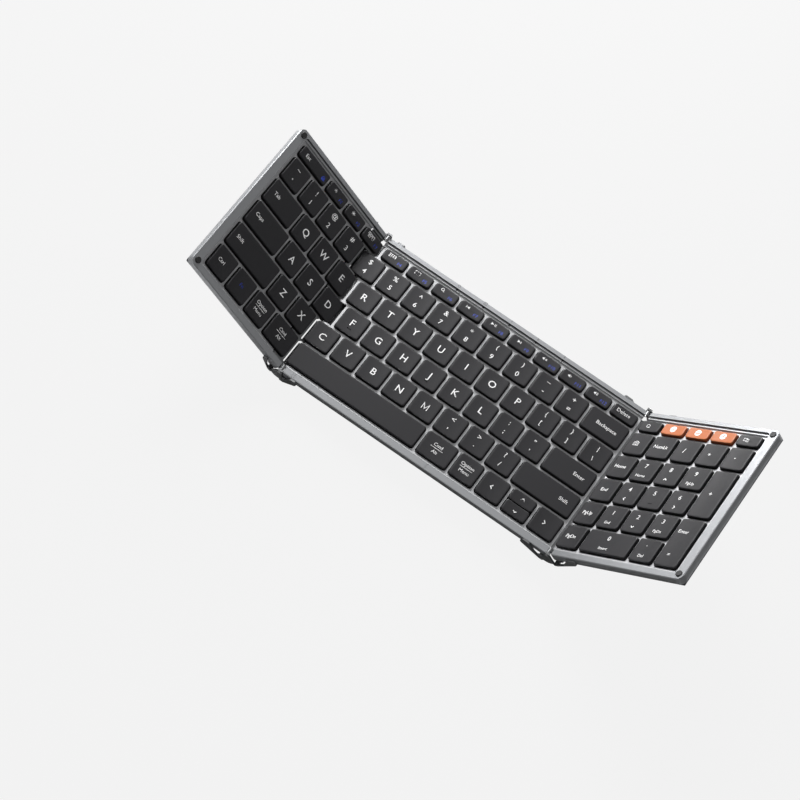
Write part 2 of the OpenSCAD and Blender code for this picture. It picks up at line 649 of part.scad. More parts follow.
dark() place(2) keys(2, 4, 0, 3);  // pad_1_row_keys
union() { dark() place(2) keys(2, 5, 0, 0); pad_cap(15.5, 17.5, 0, 1); dark() place(2) keys(2, 5, 3, 3); }  // pad_0_row_keys
pad_cap(18.5, 19.5, 2, 4);  // pad_plus_key
pad_cap(18.5, 19.5, 0, 2);  // pad_enter_key
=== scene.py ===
"""Looks of the folding keyboard: keycaps, legends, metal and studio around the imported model."""
import json
import math

import bpy
from mathutils import Matrix, Vector


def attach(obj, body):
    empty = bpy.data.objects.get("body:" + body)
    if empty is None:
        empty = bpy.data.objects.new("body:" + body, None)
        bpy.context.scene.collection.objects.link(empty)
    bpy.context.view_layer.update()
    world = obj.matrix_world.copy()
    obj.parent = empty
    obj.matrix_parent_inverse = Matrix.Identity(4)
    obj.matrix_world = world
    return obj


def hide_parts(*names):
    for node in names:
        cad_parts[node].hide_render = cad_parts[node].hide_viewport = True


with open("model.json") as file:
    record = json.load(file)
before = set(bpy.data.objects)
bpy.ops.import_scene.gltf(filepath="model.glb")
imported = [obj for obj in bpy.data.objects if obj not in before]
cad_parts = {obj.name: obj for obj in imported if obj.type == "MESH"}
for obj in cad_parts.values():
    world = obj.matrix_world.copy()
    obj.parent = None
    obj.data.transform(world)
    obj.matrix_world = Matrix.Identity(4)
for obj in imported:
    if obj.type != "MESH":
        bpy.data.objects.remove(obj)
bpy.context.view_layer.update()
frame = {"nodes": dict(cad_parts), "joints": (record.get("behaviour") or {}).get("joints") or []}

# ---------------------------------------------------------------- sizes, in millimetres
MM = 0.001
PITCH = 19.0          # key pitch along a row
ROW_PITCH = 19.18     # key pitch from row to row
FN_DEPTH = 10.5       # depth of the function row
WEB = 1.4             # bars between the keys
CAP_GAP = 0.45        # clearance from bar to cap
CAP_Z = 10.0          # cap top over the floor
RIM_Z = 10.0          # rim top over the floor
CAP_R = 1.5           # plan corner radius of a cap
DISH = 0.22           # depth of the dish in a narrow cap
DISH_RIM = 1.25       # flat margin beside the dish
NARROW = 24.0         # caps narrower than this are dished
PRINT = 0.012         # how far the printed legends stand over a surface
GRID_Y = 5 * ROW_PITCH + FN_DEPTH
FRONT_RIM = 6.2       # rim beyond the keys at the front
REAR_RIM = 5.7        # rim beyond the keys at the rear
WORD_LEFT = 5.1       # from a key's left edge to a word set at the left
WORD_RIGHT = 5.7      # from a key's right edge to a word set at the right
ROW_SHIFT = (0.43, -0.5, 0.4, -0.1, -0.1, 0.06)   # small shift of the keys of each row
SEAM_SHIFT = 0.5      # shift of the last key edges of the middle panel
PAD_LEFT = 14.6       # left edge of the first caps of the right panel, in key pitches
HINGE_X = {"left": 4.384 * PITCH, "right": 14.61 * PITCH}
ANGLE = {"left": math.radians(36.75), "right": math.radians(-44.0)}
DECK_Y = (-FRONT_RIM + GRID_Y + REAR_RIM) / 2     # middle of the panels' depth


def panel_matrix(side):
    """From flat keyboard millimetres to the row frame, with a side panel raised about its hinge."""
    hinge = {j["name"]: Vector(j["pos_m"]) for j in frame["joints"] if j["name"].endswith("_fold")}
    if side == "center":
        x0 = hinge["left_fold"].x - HINGE_X["left"] * MM
        return Matrix.Translation((x0, -DECK_Y * MM, 0)) @ Matrix.Scale(MM, 4)
    at = hinge[side + "_fold"]
    flat = Vector((HINGE_X[side], DECK_Y, at.z / MM))
    return (Matrix.Translation(at) @ Matrix.Rotation(ANGLE[side], 4, "Y")
            @ Matrix.Scale(MM, 4) @ Matrix.Translation(-flat))


PANEL = {side: panel_matrix(side) for side in ("left", "center", "right")}


# ---------------------------------------------------------------- materials
def new_material(name):
    mat = bpy.data.materials.new(name)
    mat.use_nodes = True
    return mat, mat.node_tree, mat.node_tree.nodes["Principled BSDF"]


def grain(tree, scale, detail=2.0):
    """Fine even noise in the object's own coordinates."""
    coord = tree.nodes.new("ShaderNodeTexCoord")
    noise = tree.nodes.new("ShaderNodeTexNoise")
    noise.inputs["Scale"].default_value = scale
    noise.inputs["Detail"].default_value = detail
    tree.links.new(coord.outputs["Object"], noise.inputs["Vector"])
    return noise.outputs["Fac"]


def ranged(tree, value, low, high):
    node = tree.nodes.new("ShaderNodeMapRange")
    node.inputs["To Min"].default_value = low
    node.inputs["To Max"].default_value = high
    tree.links.new(value, node.inputs["Value"])
    return node.outputs["Result"]


def bumped(tree, bsdf, value, distance, strength=0.5):
    node = tree.nodes.new("ShaderNodeBump")
    node.inputs["Distance"].default_value = distance
    node.inputs["Strength"].default_value = strength
    tree.links.new(value, node.inputs["Height"])
    tree.links.new(node.outputs["Normal"], bsdf.inputs["Normal"])


def tinted(tree, bsdf, value, colour, spread):
    """A base colour that varies a little either way with the value."""
    mix = tree.nodes.new("ShaderNodeMix")
    mix.data_type = "RGBA"
    mix.inputs["A"].default_value = (*[c * (1 - spread) for c in colour], 1)
    mix.inputs["B"].default_value = (*[c * (1 + spread) for c in colour], 1)
    tree.links.new(value, mix.inputs["Factor"])
    tree.links.new(mix.outputs["Result"], bsdf.inputs["Base Color"])


def textured(name, colour, rough, rough_spread=0.04, metallic=0.0, scale=4000, bump=0.00001, spread=0.06,
             specular=0.5):
    mat, tree, bsdf = new_material(name)
    value = grain(tree, scale)
    tinted(tree, bsdf, value, colour, spread)
    tree.links.new(ranged(tree, value, rough - rough_spread, rough + rough_spread), bsdf.inputs["Roughness"])
    bumped(tree, bsdf, value, bump)
    bsdf.inputs["Metallic"].default_value = metallic
    bsdf.inputs["Specular IOR Level"].default_value = specular
    return mat


MOULDED = {"scale": 6500, "bump": 0.000012}                      # grain of the keycaps
PRINTED = {"scale": 3000, "bump": 0.000002, "spread": 0.02}      # grain of the legends
KEY_BLACK = textured("key_black", (0.025, 0.0245, 0.027), 0.36, spread=0.15, specular=0.32, **MOULDED)
# painted shade: darker copies of the cap materials, for the sides of the caps
KEY_SIDE_SHADE = textured("key_side", (0.006, 0.006, 0.0065), 0.5, spread=0.15, specular=0.2, **MOULDED)
KEY_ORANGE_SIDE_SHADE = textured("key_orange_side", (0.30, 0.07, 0.018), 0.5, spread=0.05, specular=0.3, **MOULDED)
KEY_ORANGE = textured("key_orange", (0.49, 0.135, 0.036), 0.42, spread=0.05, **MOULDED)
# the white print also glows a little, painted light, set below
LEGEND_WHITE_GLOWING = textured("legend_white", (0.86, 0.86, 0.86), 0.6, **PRINTED)
LEGEND_BLUE = textured("legend_blue", (0.02, 0.05, 0.42), 0.6, **PRINTED)
LEGEND_DARK = textured("legend_dark", (0.03, 0.03, 0.032), 0.6, **PRINTED)
RIM_METAL = textured("rim_metal", (0.44, 0.45, 0.465), 0.30, metallic=0.8, scale=9000, bump=0.000004)
DECK_METAL = textured("deck_metal", (0.62, 0.625, 0.64), 0.36, metallic=0.5, scale=9000, bump=0.000004)
COVER_METAL = textured("cover_metal", (0.12, 0.13, 0.145), 0.56, metallic=0.6, scale=7000, bump=0.000005)
HINGE_METAL = textured("hinge_metal", (0.27, 0.275, 0.28), 0.34, metallic=0.85, scale=8000, bump=0.000003)
PIN_STEEL = textured("pin_steel", (0.75, 0.75, 0.76), 0.16, metallic=1.0, scale=5000, bump=0.000001)
PLATE_STEEL = textured("plate_steel", (0.10, 0.10, 0.105), 0.5, metallic=0.6)
DOME_FILM = textured("dome_film", (0.010, 0.010, 0.011), 0.7)
RUBBER = textured("rubber_black", (0.012, 0.012, 0.013), 0.62, scale=2600, bump=0.00002, spread=0.2)
FOIL = textured("battery_foil", (0.55, 0.56, 0.58), 0.35, metallic=0.9)
BOARD = textured("board_green", (0.02, 0.10, 0.05), 0.45)
PORT_STEEL = textured("port_steel", (0.55, 0.55, 0.56), 0.25, metallic=1.0)
GUIDE = textured("light_guide", (0.006, 0.006, 0.007), 0.2)

LEGEND_PAINTED_GLOW = 0.10       # painted light: the white legends glow a little, which keeps them bright on the shaded panels
white_sockets = LEGEND_WHITE_GLOWING.node_tree.nodes["Principled BSDF"].inputs
white_sockets["Emission Color"].default_value = (1, 1, 1, 1)
white_sockets["Emission Strength"].default_value = LEGEND_PAINTED_GLOW

NODE_MATERIALS = (
    (("frame", "rails"), RIM_METAL), (("deck",), DECK_METAL), (("cover",), COVER_METAL),
    (("bracket",), HINGE_METAL), (("pins",), PIN_STEEL), (("switch_plate",), PLATE_STEEL),
    (("dome_sheet",), DOME_FILM), (("feet", "bumpers"), RUBBER), (("battery",), FOIL),
    (("main_board",), BOARD), (("usb",), PORT_STEEL), (("light_guides",), GUIDE))


def dress_cad_nodes():
    for name, obj in frame["nodes"].items():
        for words, mat in NODE_MATERIALS:
            if any(word in name for word in words):
                obj.data.materials.clear()
                obj.data.materials.append(mat)


# ---------------------------------------------------------------- keycaps
def row_lo(r):
    return 5 * ROW_PITCH if r == 0 else (5 - r) * ROW_PITCH


def row_hi(r):
    return GRID_Y if r == 0 else (6 - r) * ROW_PITCH


def key_edge(x, r, side):
    """Place of a key boundary, in mm; panel ends and seam ends stay put."""
    if side == "right" or x == 0:
        return x * PITCH
    return x * PITCH + (SEAM_SHIFT if x == 14.5 else ROW_SHIFT[r])


def cap_box(x0, x1, r, side, rows=1):
    """Plan box of a cap: x0, x1, y0, y1. A tall cap reaches over two rows."""
    inset = WEB / 2 + CAP_GAP
    left = PAD_LEFT * PITCH if side == "right" and x0 == 14.5 else key_edge(x0, r, side) + inset
    return (left, key_edge(x1, r, side) - inset, row_lo(r) + inset, row_hi(r + 1 - rows) - inset)


def dish_at(x, box):
    """How far the cap's top lies below its rim at x."""
    width = box[1] - box[0]
    if width >= NARROW:
        return 0.0
    chord = width - 2 * DISH_RIM
    radius = chord * chord / 8 / DISH
    off = min(abs(x - (box[0] + box[1]) / 2), chord / 2)
    return max(0.0, math.sqrt(radius * radius - off * off) - radius + DISH)


CORNER_STEPS = 5
SIDE_STEPS = 6


def rounded_ring(x0, x1, y0, y1, radius):
    """Points round a rounded box, with the straight sides divided too."""
    r = max(0.04, min(radius, (x1 - x0) / 2 - 0.01, (y1 - y0) / 2 - 0.01))
    corners = ((x1 - r, y0 + r, -90), (x1 - r, y1 - r, 0), (x0 + r, y1 - r, 90), (x0 + r, y0 + r, 180))
    ring = []
    for cx, cy, start in corners:
        arc = []
        for i in range(CORNER_STEPS + 1):
            t = math.radians(start + 90 * i / CORNER_STEPS)
            arc.append((cx + r * math.cos(t), cy + r * math.sin(t)))
        if ring:
            ring += between(ring[-1], arc[0])
        ring += arc
    return ring + between(ring[-1], ring[0])


def between(a, b):
    return [(a[0] + (b[0] - a[0]) * i / SIDE_STEPS, a[1] + (b[1] - a[1]) * i / SIDE_STEPS)
            for i in range(1, SIDE_STEPS)]


# inset and height below the top of each ring up the side and over the edge
CAP_SIDE = ((0.0, 2.6), (0.0, 1.2), (0.05, 0.62), (0.10, 0.38), (0.20, 0.19), (0.34, 0.07), (0.52, 0.015),
            (0.75, 0.0))
CAP_TOP = (1.25, 2.0, 3.0, 4.2, 5.6, 7.2)
SIDE_DROP = 0.7       # faces that reach lower than this are the sides of a cap, which get a darker copy of the cap material: painted shade
TOP_DROP = 0.1        # rings that lie higher than this follow the dish


def cap_faces(box, verts, faces):
    """Adds one keycap to the lists: a closed shell with soft edges and a dished top."""
    x0, x1, y0, y1 = box
    half = min(x1 - x0, y1 - y0) / 2
    rings = list(CAP_SIDE) + [(i, 0.0) for i in CAP_TOP if i < half - 0.3] + [(half - 0.2, 0.0)]
    start = len(verts)
    for inset, drop in rings:
        for x, y in rounded_ring(x0 + inset, x1 - inset, y0 + inset, y1 - inset, CAP_R - inset * 0.6):
            dip = dish_at(x, box) if drop < TOP_DROP else 0.0
            verts.append((x, y, CAP_Z - drop - dip))
    n = (len(verts) - start) // len(rings)
    for k in range(len(rings) - 1):
        for i in range(n):
            a, b = start + k * n + i, start + k * n + (i + 1) % n
            faces.append((a, b, b + n, a + n))
    faces.append(tuple(range(start + n - 1, start - 1, -1)))
    faces.append(tuple(range(start + (len(rings) - 1) * n, start + len(rings) * n)))


def mesh_piece(name, verts, faces, materials, indices=None, smooth=35):
    mesh = bpy.data.meshes.new(name)
    mesh.from_pydata([tuple(v) for v in verts], [], faces)
    for mat in materials:
        mesh.materials.append(mat)
    if indices:
        mesh.polygons.foreach_set("material_index", indices)
    mesh.polygons.foreach_set("use_smooth", [smooth > 0] * len(mesh.polygons))
    if smooth > 0:
        mesh.set_sharp_from_angle(angle=math.radians(smooth))
    mesh.validate()
    obj = bpy.data.objects.new(name, mesh)
    bpy.context.scene.collection.objects.link(obj)
    return obj


# ---------------------------------------------------------------- flat shapes for the legends
class Print:
    """Flat shapes of one key node, laid on the cap tops."""

    def __init__(self, materials):
        self.verts, self.faces, self.indices, self.materials = [], [], [], materials
        self.height = lambda x, y: CAP_Z
        self.colour = 0

    def shape(self, points, faces):
        start = len(self.verts)
        self.verts += [(x, y, self.height(x, y) + PRINT) for x, y in points]
        self.faces += [tuple(start + i for i in face) for face in faces]
        self.indices += [self.colour] * len(faces)

    def polygon(self, points):
        self.shape(points, [tuple(range(len(points)))])

    def disc(self, x, y, r, steps=24):
        self.polygon([(x + r * math.cos(2 * math.pi * i / steps), y + r * math.sin(2 * math.pi * i / steps))
                      for i in range(steps)])

    def stroke(self, points, width, closed=False):
        """A line of even width with mitred bends."""
        n = len(points)
        sides = []
        for i, (x, y) in enumerate(points):
            before = points[i - 1] if i or closed else points[0]
            after = points[(i + 1) % n] if i < n - 1 or closed else points[-1]
            a = Vector((x - before[0], y - before[1])) if before != (x, y) else None
            b = Vector((after[0] - x, after[1] - y)) if after != (x, y) else None
            a = (a or b).normalized()
            b = (b or a).normalized()
            across = Vector((-(a.y + b.y), a.x + b.x)).normalized()
            reach = width / 2 / max(0.4, across.dot(Vector((-a.y, a.x))))
            sides += [(x + across.x * reach, y + across.y * reach),
                      (x - across.x * reach, y - across.y * reach)]
        count = n if closed else n - 1
        self.shape(sides, [(2 * i, 2 * i + 1, (2 * i + 3) % (2 * n), (2 * i + 2) % (2 * n))
                           for i in range(count)])

    def arc(self, x, y, r, start, end, width, steps=14):
        points = [(x + r * math.cos(math.radians(start + (end - start) * i / steps)),
                   y + r * math.sin(math.radians(start + (end - start) * i / steps))) for i in range(steps + 1)]
        if end - start == 360:
            self.stroke(points[:-1], width, closed=True)
        else:
            self.stroke(points, width)

    def text(self, words, x, y, height, align="C", boxed=False, bold=0.0):
        """Words whose capitals are that high. boxed centres the shape itself on the place."""
        points, faces = glyphs(words, bold)
        points = [(px * height, py * height) for px, py in points]
        xs = [p[0] for p in points]
        ys = [p[1] for p in points]
        dx = x - {"L": min(xs), "C": (min(xs) + max(xs)) / 2, "R": max(xs)}[align]
        dy = y - ((min(ys) + max(ys)) / 2 if boxed else height / 2)
        self.shape([(px + dx, py + dy) for px, py in points], faces)

    def piece(self, name, side):
        return mesh_piece(name, [PANEL[side] @ Vector(v) for v in self.verts], self.faces, self.materials,
                          self.indices, smooth=0)


_glyphs = {}


def raw_glyphs(words, bold):
    curve = bpy.data.curves.new("legend", "FONT")
    curve.body = words
    curve.size = 1.0
    curve.resolution_u = 3
    curve.offset = bold
    obj = bpy.data.objects.new("legend", curve)
    bpy.context.scene.collection.objects.link(obj)
    bpy.context.view_layer.update()
    mesh = obj.evaluated_get(bpy.context.evaluated_depsgraph_get()).to_mesh()
    points = [(v.co.x, v.co.y) for v in mesh.vertices]
    faces = [tuple(p.vertices) for p in mesh.polygons]
    bpy.data.objects.remove(obj)
    bpy.data.curves.remove(curve)
    return points, faces


def glyphs(words, bold):
    """Outline of some words, with capitals one unit high."""
    if "cap" not in _glyphs:
        _glyphs["cap"] = max(y for _, y in raw_glyphs("H", 0.0)[0])
    if (words, bold) not in _glyphs:
        points, faces = raw_glyphs(words, bold)
        cap = _glyphs["cap"]
        _glyphs[words, bold] = [(x / cap, y / cap) for x, y in points], faces
    return _glyphs[words, bold]


# ---------------------------------------------------------------- icons, centred on x, y, in mm
LINE = 0.32


def icon_sun(p, x, y, size):
    p.disc(x, y, size * 0.42)
    for i in range(8):
        c, s = math.cos(i * math.pi / 4), math.sin(i * math.pi / 4)
        p.stroke([(x + c * size * 0.62, y + s * size * 0.62), (x + c * size, y + s * size)], LINE)


def icon_frame(p, x, y, w, h):
    p.stroke([(x - w, y - h), (x + w, y - h), (x + w, y + h), (x - w, y + h)], LINE, closed=True)


def icon_windows(p, x, y):
    for dx in (-2.0, 0.1):
        icon_frame(p, x + dx, y + 0.75, 0.75, 0.6)
    icon_frame(p, x - 1.0, y - 0.9, 0.9, 0.5)
    icon_frame(p, x + 2.2, y, 0.7, 1.3)


def icon_grid(p, x, y):
    for i in range(4):
        for j in range(3):
            p.polygon([(x + (i - 1.5) * 1.35 + a, y + (j - 1) * 1.0 + b)
                       for a, b in ((-0.45, -0.32), (0.45, -0.32), (0.45, 0.32), (-0.45, 0.32))])


def icon_dashes(p, x, y):
    for s in (-1, 1):
        for i in (-1, 0, 1):
            p.stroke([(x + i * 1.25 - 0.4, y + s * 1.2), (x + i * 1.25 + 0.4, y + s * 1.2)], LINE)
        for t in (-1, 1):
            p.stroke([(x + s * 1.8, y + t * 1.2), (x + s * 1.8, y + t * 0.35)], LINE)


def icon_search(p, x, y):
    p.arc(x - 0.3, y + 0.4, 0.9, 0, 360, LINE)
    p.stroke([(x + 0.4, y - 0.35), (x + 1.3, y - 1.3)], LINE * 1.3)


def triangle(p, x, y, s, d):
    """Filled arrow of half size s that points to d."""
    p.polygon([(x - d * s, y - s), (x + d * s, y), (x - d * s, y + s)][::d])


def icon_skip(p, x, y, d):
    p.stroke([(x + d * 1.3, y - 0.95), (x + d * 1.3, y + 0.95)], LINE)
    triangle(p, x, y, 0.95, d)


def icon_play(p, x, y):
    triangle(p, x - 0.7, y, 0.95, 1)
    for dx in (0.9, 1.7):
        p.stroke([(x + dx, y - 0.95), (x + dx, y + 0.95)], LINE)


def icon_speaker(p, x, y, waves):
    p.polygon([(x - 1.5, y - 0.45), (x - 0.9, y - 0.45), (x - 0.2, y - 1.1),
               (x - 0.2, y + 1.1), (x - 0.9, y + 0.45), (x - 1.5, y + 0.45)])
    for i in range(waves):
        p.arc(x - 0.3, y, 0.9 + 0.65 * i, -45, 45, LINE * 0.9, 6)
    if not waves:
        for s in (-1, 1):
            p.stroke([(x + 0.5, y - 0.55 * s), (x + 1.6, y + 0.55 * s)], LINE * 0.9)


def icon_lock(p, x, y):
    p.polygon([(x - 1.35, y - 1.4), (x + 1.35, y - 1.4), (x + 1.35, y + 0.4), (x - 1.35, y + 0.4)])
    p.arc(x, y + 0.4, 0.95, 0, 180, 0.45, 8)


def icon_ring(p, x, y):
    p.arc(x, y, 1.2, 0, 360, LINE)
    p.disc(x + 1.0, y - 1.0, 0.4, 10)


def icon_link(p, x, y):
    icon_frame(p, x - 0.7, y + 0.2, 1.2, 0.95)
    icon_frame(p, x + 1.0, y - 0.4, 0.75, 0.95)


def icon_camera(p, x, y):
    p.stroke([(x - 1.8, y - 1.4), (x + 1.8, y - 1.4), (x + 1.8, y + 1.2), (x + 0.9, y + 1.2),
              (x + 0.5, y + 1.8), (x - 0.5, y + 1.8), (x - 0.9, y + 1.2), (x - 1.8, y + 1.2)],
             LINE, closed=True)
    p.arc(x, y - 0.1, 0.8, 0, 360, LINE, 12)


def icon_arrow(p, x, y, turn, size=1.35):
    """Chevron that points to turn degrees."""
    c, s = math.cos(math.radians(turn)), math.sin(math.radians(turn))
    shape = ((-0.5, 1.0), (0.5, 0.0), (-0.5, -1.0))
    p.stroke([(x + size * (a * c - b * s), y + size * (a * s + b * c)) for a, b in shape], 0.55)


# ---------------------------------------------------------------- keys: what each carries
WHITE, BLUE = 0, 1
LETTER, NUMERAL, WORD, SMALL, FNUM = 4.55, 3.3, 2.4, 2.2, 2.2     # heights of capitals
BOLD = 0.006             # how far the strokes of letters are thickened
BOLD_WORD = BOLD * 0.6   # and those of words
BOLD_PAD = BOLD * 0.5    # and those on the number pad
MIDDLE = -0.4            # from a key's middle to the middle of its signs


def letter(char):
    if char == "M":
        return letter_m
    return lambda p, b: p.text(char, b["x"], b["y"], LETTER, bold=BOLD)


def letter_m(p, b):
    """The outline font can't be thickened here, so this one is drawn."""
    w, h = LETTER * 0.40, LETTER / 2 - 0.1
    shape = ((-1, -1), (-1, 1), (0, -0.62), (1, 1), (1, -1))
    p.stroke([(b["x"] + dx * w, b["y"] + dy * h) for dx, dy in shape], 0.52)


def stacked(upper, lower, up=3.7, down=-3.5, size=NUMERAL):
    """Two signs one over the other."""
    def draw(p, b):
        p.text(upper, b["x"] + MIDDLE, b["y"] + up, sign_size(upper, size), boxed=True, bold=BOLD)
        p.text(lower, b["x"] + MIDDLE, b["y"] + down, sign_size(lower, size), boxed=True, bold=BOLD)
    return draw


def sign_size(char, size):
    """Brackets and bars are taller than capitals, so they are set smaller."""
    return size * (0.88 if char in "{}[]()|\\" else 1.0)


def sided(words, align, y=0.3, colour=WHITE):
    def draw(p, b):
        p.colour = colour
        x = {"L": b["cell"][0] + WORD_LEFT, "R": b["cell"][1] - WORD_RIGHT, "C": b["x"] + MIDDLE}[align]
        p.text(words, x, b["y"] + y, WORD, align, bold=BOLD_WORD)
    return draw


def two_lines(upper, lower):
    """Two words with a rule between them."""
    def draw(p, b):
        x = b["x"] - 0.6
        p.text(upper, x, b["y"] + 2.35, SMALL, bold=BOLD_WORD)
        p.text(lower, x, b["y"] - 2.45, SMALL)
        p.stroke([(x - 4.4, b["y"] + 0.05), (x + 4.4, b["y"] + 0.05)], 0.28)
    return draw


def fn(draw_icon, number, *args):
    """Function key: white icon at the left, blue number at the right."""
    def draw(p, b):
        draw_icon(p, b["cell"][0] + 6.9, b["y"] + 1.1, *args)
        p.colour = BLUE
        p.text(f"F{number}", b["cell"][0] + 13.6, b["y"] - 1.2, FNUM, bold=BOLD_WORD)
    return draw


def esc(p, b):
    p.text("Esc", b["cell"][0] + WORD_LEFT, b["y"] + 0.1, WORD, "L", bold=BOLD_WORD)
    p.colour = BLUE
    icon_lock(p, b["cell"][0] + 23.4, b["y"] - 1.0)


def sign(char, size, dx=-1.5):
    return lambda p, b: p.text(char, b["x"] + dx, b["y"] + 0.2, size, boxed=True, bold=BOLD)


def pad(digit, below):
    """Number pad key: numeral above, word or arrow below."""
    def draw(p, b):
        x = b["x"] - 1.0
        p.text(digit, x, b["y"] + 3.4, 3.0, boxed=True, bold=BOLD_PAD)
        if isinstance(below, str):
            p.text(below, x, b["y"] - 4.3, 1.95, bold=BOLD_PAD)
        elif below is not None:
            icon_arrow(p, x, b["y"] - 4.2, below, 1.1)
    return draw


def arrow(turn, dx=-1.0, dy=0.0):
    return lambda p, b: icon_arrow(p, b["x"] + dx, b["y"] + dy, turn)


def icon(draw_icon, dx=-1.0):
    return lambda p, b: draw_icon(p, b["x"] + dx, b["y"] + 0.3)


def device(number):
    """White disc with the number left open in the cap's colour."""
    def draw(p, b):
        p.disc(b["x"] - 0.5, b["y"] + 0.4, 2.3)
        p.colour = 2
        height = p.height
        p.height = lambda x, y: height(x, y) + PRINT
        p.text(number, b["x"] - 0.5, b["y"] + 0.4, 2.5, boxed=True, bold=BOLD)
        p.height = height
    return draw


def tall(upper, lower):
    def draw(p, b):
        p.text(upper, b["x"] - 2.0, b["y"] + 8.4, 2.3, boxed=True, bold=BOLD_WORD)
        p.text(lower, b["x"] - 2.0, b["y"] - 9.2, 2.6, boxed=True, bold=BOLD)
    return draw


def keys(first, widths, legends):
    """(x0, x1, legend) of some keys side by side."""
    cells, x = [], first
    for width, legend in zip(widths, legends):
        cells.append((x, x + width, legend))
        x += width
    return cells


# node: panel, row, rows covered, keys
KEY_NODES = {
    "left_function_keys": ("left", 0, 1, keys(0, (1.5, 1, 1, 1), (
        esc, fn(icon_sun, 1, 1.15), fn(icon_sun, 2, 1.5), fn(icon_windows, 3)))),
    "left_number_keys": ("left", 1, 1, keys(0, (1,) * 4, (
        stacked("~", "`"), stacked("!", "1"), stacked("@", "2"), stacked("#", "3")))),
    "tab_key": ("left", 2, 1, keys(0, (1.5,), (sided("Tab", "L"),))),
    "q_row_left_keys": ("left", 2, 1, keys(1.5, (1,) * 3, map(letter, "QWE"))),
    "caps_key": ("left", 3, 1, keys(0, (1.75,), (sided("Caps", "L", 0.9),))),
    "a_row_left_keys": ("left", 3, 1, keys(1.75, (1,) * 3, map(letter, "ASD"))),
    "left_shift_key": ("left", 4, 1, keys(0, (2.25,), (sided("Shift", "L"),))),
    "z_row_left_keys": ("left", 4, 1, keys(2.25, (1,) * 2, map(letter, "ZX"))),
    "left_bottom_keys": ("left", 5, 1, keys(0, (1, 1, 1, 1.25), (
        sided("Ctrl", "L"), sided("Fn", "C", 0.2, BLUE), two_lines("Option", "Menu"), two_lines("Cmd", "Alt")))),
    "center_function_keys": ("center", 0, 1, keys(4.5, (1,) * 10, (
        fn(icon_grid, 4), fn(icon_dashes, 5), fn(icon_search, 6), fn(icon_skip, 7, -1), fn(icon_play, 8),
        fn(icon_skip, 9, 1), fn(icon_speaker, 10, 0), fn(icon_speaker, 11, 1), fn(icon_speaker, 12, 2),
        sided("Delete", "R", 0.6)))),
    "center_number_keys": ("center", 1, 1, keys(4, (1,) * 9, [
        stacked(a, b) for a, b in zip("$%^&*()_+", "4567890-=")])),
    "backspace_key": ("center", 1, 1, keys(13, (1.5,), (sided("Backspace", "R"),))),
    "q_row_center_keys": ("center", 2, 1, keys(4.5, (1,) * 10, [letter(c) for c in "RTYUIOP"]
                                               + [stacked("{", "["), stacked("}", "]"), stacked("|", "\\")])),
    "a_row_center_keys": ("center", 3, 1, keys(4.75, (1,) * 8, [letter(c) for c in "FGHJKL"]
                                               + [stacked(":", ";"), stacked('"', "'")])),
    "enter_key": ("center", 3, 1, keys(12.75, (1.75,), (sided("Enter", "R"),))),
    "z_row_center_keys": ("center", 4, 1, keys(4.25, (1,) * 8, [letter(c) for c in "CVBNM"]
                                               + [stacked("<", ","), stacked(">", "."), stacked("?", "/")])),
    "right_shift_key": ("center", 4, 1, keys(12.25, (2.25,), (sided("Shift", "R"),))),
    "space_key": ("center", 5, 1, keys(4.25, (5,), (None,))),
    "center_bottom_keys": ("center", 5, 1, keys(9.25, (1.25, 1, 1), (
        two_lines("Cmd", "Alt"), two_lines("Option", "Menu"), arrow(180))) + keys(13.5, (1,), (arrow(0),))),
    "up_key": ("center", 5, "upper", keys(12.5, (1,), (arrow(90, 0, 0.3),))),
    "down_key": ("center", 5, "lower", keys(12.5, (1,), (arrow(-90, 0, -0.6),))),
    "pad_function_keys": ("right", 0, 1, keys(14.5, (1,), (icon(icon_ring),))
                          + keys(18.5, (1,), (icon(icon_link, -2.2),))),
    "device_keys": ("right", 0, 1, keys(15.5, (1,) * 3, map(device, "123"))),
    "pad_top_keys": ("right", 1, 1, keys(14.5, (1,) * 5, (
        icon(icon_camera), sided("NumLk", "C"), sign("/", 3.2), sign("*", 3.0), sign("-", 3.0)))),
    "pad_7_row_keys": ("right", 2, 1, keys(14.5, (1,) * 4, (
        sided("Home", "C"), pad("7", "Home"), pad("8", 90), pad("9", "PgUp")))),
    "pad_4_row_keys": ("right", 3, 1, keys(14.5, (1,) * 4, (
        sided("End", "C"), pad("4", 180), pad("5", None), pad("6", 0)))),
    "pad_1_row_keys": ("right", 4, 1, keys(14.5, (1,) * 4, (
        sided("PgUp", "C"), pad("1", "End"), pad("2", -90), pad("3", "PgDn")))),
    "pad_0_row_keys": ("right", 5, 1, keys(14.5, (1, 2, 1), (
        sided("PgDn", "C"), pad("0", "Insert"), pad(".", "Del")))),
    "pad_plus_key": ("right", 3, 2, keys(18.5, (1,), (sign("+", 3.0),))),
    "pad_enter_key": ("right", 5, 2, keys(18.5, (1,), (tall("Enter", "="),))),
}
HOMING = {"a_row_center_keys": (5.25, 8.25), "pad_4_row_keys": (17.0,)}      # keys with a raised bar


def half_box(box, half):
    """Upper or lower half of a key's place."""
    middle = ROW_PITCH / 2
    return (box[0], box[1], middle + 0.2, box[3]) if half == "upper" else (box[0], box[1], box[2], middle - 0.2)


def bar_faces(x, y, box, verts, faces):
    """Low homing bar with a rounded top."""
    start = len(verts)
    sections = ((-1.55, 0.0), (-1.4, 0.22), (1.4, 0.22), (1.55, 0.0))
    for dx, rise in sections:
        for dy, k in ((-0.3, 0.0), (-0.16, 1.0), (0.16, 1.0), (0.3, 0.0)):
            verts.append((x + dx, y + dy, CAP_Z - dish_at(x + dx, box) - 0.05 + (0.05 + rise) * k))
    for i in range(3):
        for j in range(3):
            a = start + 4 * i + j
            faces.append((a, a + 4, a + 5, a + 1))
    faces += [(start, start + 1, start + 2, start + 3), (start + 15, start + 14, start + 13, start + 12),
              (start, start + 4, start + 8, start + 12, start + 15, start + 11, start + 7, start + 3)[::-1]]


